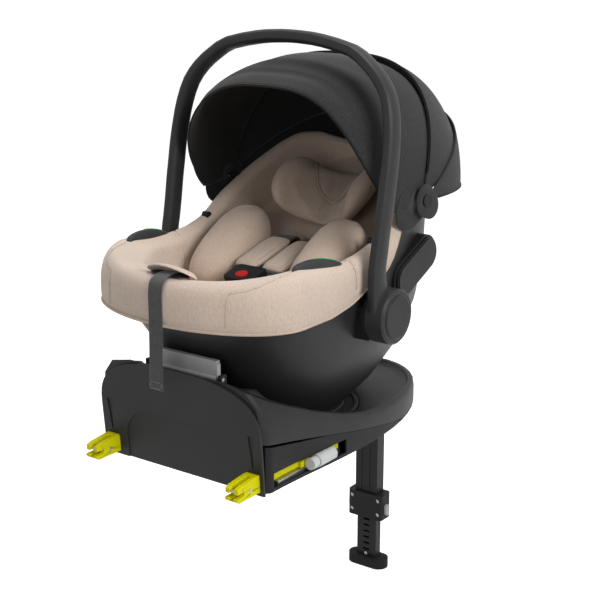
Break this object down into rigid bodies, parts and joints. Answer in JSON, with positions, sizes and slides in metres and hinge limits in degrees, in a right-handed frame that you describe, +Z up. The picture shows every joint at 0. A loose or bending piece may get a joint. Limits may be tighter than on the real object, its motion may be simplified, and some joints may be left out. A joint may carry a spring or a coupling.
{
  "type": "infant car seat",
  "caption": "Rear-facing infant carrier with canopy, swing handle and harness, clipped on a swivel base with two anchor arms and a folding support leg.",
  "frame": {"origin": "midpoint of the line through the centres of the two vehicle anchor bars that the arms grip", "axes": "+X across the seat, +Y from the vehicle's backrest towards the support leg (the child's head end), +Z up"},
  "size_m": [0.465, 0.692, 1.0313],
  "materials": {
    "housing": "moulded, fine matt grain",
    "housing_dark": "moulded, matt",
    "shell": "moulded, satin",
    "handle": "moulded, satin",
    "tube": "powder coated",
    "steel": "plated",
    "lime": "moulded, satin",
    "silver": "silver lacquer, satin",
    "light_grey": "moulded, satin",
    "guide": "moulded, satin",
    "rubber": "moulded",
    "red": "moulded, satin",
    "cover": "fine knit over foam",
    "inlay": "fine knit over foam",
    "hood": "woven, heather",
    "webbing": "flat woven",
    "strap": "flat woven"
  },
  "bodies": {
    "base": {"base_shell": "housing", "base_pan": "housing_dark", "base_wall": "housing", "arm_rails": "steel", "frame_crossbar": "steel", "release_bar_pin": "steel", "swivel_bearing": "housing_dark", "leg_bracket": "housing_dark", "leg_hinge_pin": "steel"},
    "arm_left": {"arm_left": "lime"},
    "arm_right": {"arm_right": "lime"},
    "latch_left": {"latch_hook_left": "steel"},
    "latch_right": {"latch_hook_right": "steel"},
    "grip_left": {"arm_grip_left": "silver"},
    "grip_right": {"arm_grip_right": "silver"},
    "release_bar": {"release_bar": "light_grey"},
    "turntable": {"turntable": "housing", "carrier_hooks": "steel"},
    "leg": {"leg_outer_tube": "tube", "leg_collar": "housing_dark", "leg_collar_screws": "steel"},
    "leg_button_left": {"leg_button_left": "light_grey"},
    "leg_button_right": {"leg_button_right": "light_grey"},
    "leg_inner": {"leg_inner_tube": "tube", "leg_lock_stud": "steel", "leg_foot": "rubber"},
    "carrier": {"carrier_shell": "shell", "carrier_lock_bars": "steel", "seat_cover": "cover", "backrest_pad": "inlay", "bolster_left": "cover", "bolster_right": "cover", "belt_guide_left": "guide", "belt_guide_right": "guide", "canopy_studs": "housing_dark", "harness_webbing": "webbing", "harness_pads": "inlay", "buckle": "housing_dark", "adjuster_flap": "cover", "adjuster_strap": "strap", "hub_mount_left": "housing_dark", "hub_mount_right": "housing_dark", "canopy_rear": "hood", "canopy_hinge_pins": "steel"},
    "headrest": {"headrest_back": "housing_dark", "headrest_cushion": "inlay", "headrest_pillow": "inlay"},
    "pod_left": {"side_pod_left": "shell"},
    "pod_right": {"side_pod_right": "shell"},
    "buckle_button": {"buckle_button": "red"},
    "adjuster_button": {"adjuster_button": "housing_dark"},
    "handle": {"handle_bow": "handle"},
    "hub_button_left": {"hub_button_left": "shell"},
    "hub_button_right": {"hub_button_right": "shell"},
    "canopy_mid": {"canopy_mid": "hood"},
    "canopy_visor": {"canopy_visor": "hood"}
  },
  "joints": [
    {"name": "arm_left_extend", "type": "slide", "parent": "base", "child": "arm_left", "axis": [0, -1, 0], "range_m": [-0.01, 0.08]},
    {"name": "grip_left_pull", "type": "slide", "parent": "arm_left", "child": "grip_left", "axis": [0, 1, 0], "range_m": [0, 0.008], "stiffness_N_per_m": 900, "springref_m": -0.004},
    {"name": "latch_left_turn", "type": "hinge", "parent": "arm_left", "child": "latch_left", "pos_m": [-0.14, 0.018, 0], "axis": [1, 0, 0], "range_deg": [-36, 0]},
    {"name": "arm_right_extend", "type": "slide", "parent": "base", "child": "arm_right", "axis": [0, -1, 0], "range_m": [-0.01, 0.08]},
    {"name": "grip_right_pull", "type": "slide", "parent": "arm_right", "child": "grip_right", "axis": [0, 1, 0], "range_m": [0, 0.008], "stiffness_N_per_m": 900, "springref_m": -0.004},
    {"name": "latch_right_turn", "type": "hinge", "parent": "arm_right", "child": "latch_right", "pos_m": [0.14, 0.018, 0], "axis": [1, 0, 0], "range_deg": [-36, 0]},
    {"name": "release_bar_tilt", "type": "hinge", "parent": "base", "child": "release_bar", "pos_m": [0, 0.054, 0.146], "axis": [1, 0, 0], "range_deg": [0, 25], "stiffness_Nm_per_rad": 0.6, "springref_deg": -6},
    {"name": "swivel_turn", "type": "hinge", "parent": "base", "child": "turntable", "pos_m": [0, 0.33, 0.008], "axis": [0, 0, 1], "range_deg": [-90, 90]},
    {"name": "carrier_lift", "type": "slide", "parent": "turntable", "child": "carrier", "axis": [0, 0, 1], "range_m": [0, 0.15]},
    {"name": "leg_fold", "type": "hinge", "parent": "base", "child": "leg", "pos_m": [0, 0.578, -0.034], "axis": [1, 0, 0], "range_deg": [-86, 0]},
    {"name": "leg_extend", "type": "slide", "parent": "leg", "child": "leg_inner", "axis": [0, 0, -1], "range_m": [-0.065, 0.11]},
    {"name": "leg_button_left_press", "type": "slide", "parent": "leg", "child": "leg_button_left", "axis": [1, 0, 0], "range_m": [0, 0.003], "stiffness_N_per_m": 800, "springref_m": -0.003},
    {"name": "side_pod_left_pull", "type": "slide", "parent": "carrier", "child": "pod_left", "axis": [-1, 0, 0], "range_m": [0, 0.015]},
    {"name": "hub_button_left_press", "type": "slide", "parent": "handle", "child": "hub_button_left", "axis": [1, 0, 0], "range_m": [0, 0.004], "stiffness_N_per_m": 1500, "springref_m": -0.003},
    {"name": "leg_button_right_press", "type": "slide", "parent": "leg", "child": "leg_button_right", "axis": [-1, 0, 0], "range_m": [0, 0.003], "stiffness_N_per_m": 800, "springref_m": -0.003},
    {"name": "side_pod_right_pull", "type": "slide", "parent": "carrier", "child": "pod_right", "axis": [1, 0, 0], "range_m": [0, 0.015]},
    {"name": "hub_button_right_press", "type": "slide", "parent": "handle", "child": "hub_button_right", "axis": [-1, 0, 0], "range_m": [0, 0.004], "stiffness_N_per_m": 1500, "springref_m": -0.003},
    {"name": "handle_turn", "type": "hinge", "parent": "carrier", "child": "handle", "pos_m": [0, 0.291, 0.213], "axis": [1, 0, 0], "range_deg": [-12, 90]},
    {"name": "canopy_mid_fold", "type": "hinge", "parent": "carrier", "child": "canopy_mid", "pos_m": [0, 0.412, 0.374], "axis": [1, 0, 0], "range_deg": [-40, 0]},
    {"name": "canopy_visor_fold", "type": "hinge", "parent": "canopy_mid", "child": "canopy_visor", "pos_m": [0, 0.412, 0.374], "axis": [1, 0, 0], "range_deg": [-30, 0]},
    {"name": "headrest_height", "type": "slide", "parent": "carrier", "child": "headrest", "axis": [0, 0.8545, 0.5195], "range_m": [0, 0.035]},
    {"name": "buckle_release", "type": "slide", "parent": "carrier", "child": "buckle_button", "axis": [0, 0.2419, -0.9703], "range_m": [0, 0.002], "stiffness_N_per_m": 900, "springref_m": -0.003},
    {"name": "adjuster_press", "type": "slide", "parent": "carrier", "child": "adjuster_button", "axis": [0, -0.682, -0.7314], "range_m": [0, 0.004], "stiffness_N_per_m": 700, "springref_m": -0.003}
  ],
  "couplings": [
    {"joint": "latch_left_turn", "follows": "grip_left_pull", "rad_per_m": -76.358},
    {"joint": "latch_right_turn", "follows": "grip_right_pull", "rad_per_m": -76.358},
    {"joint": "canopy_visor_fold", "follows": "canopy_mid_fold", "ratio": 0.75}
  ]
}
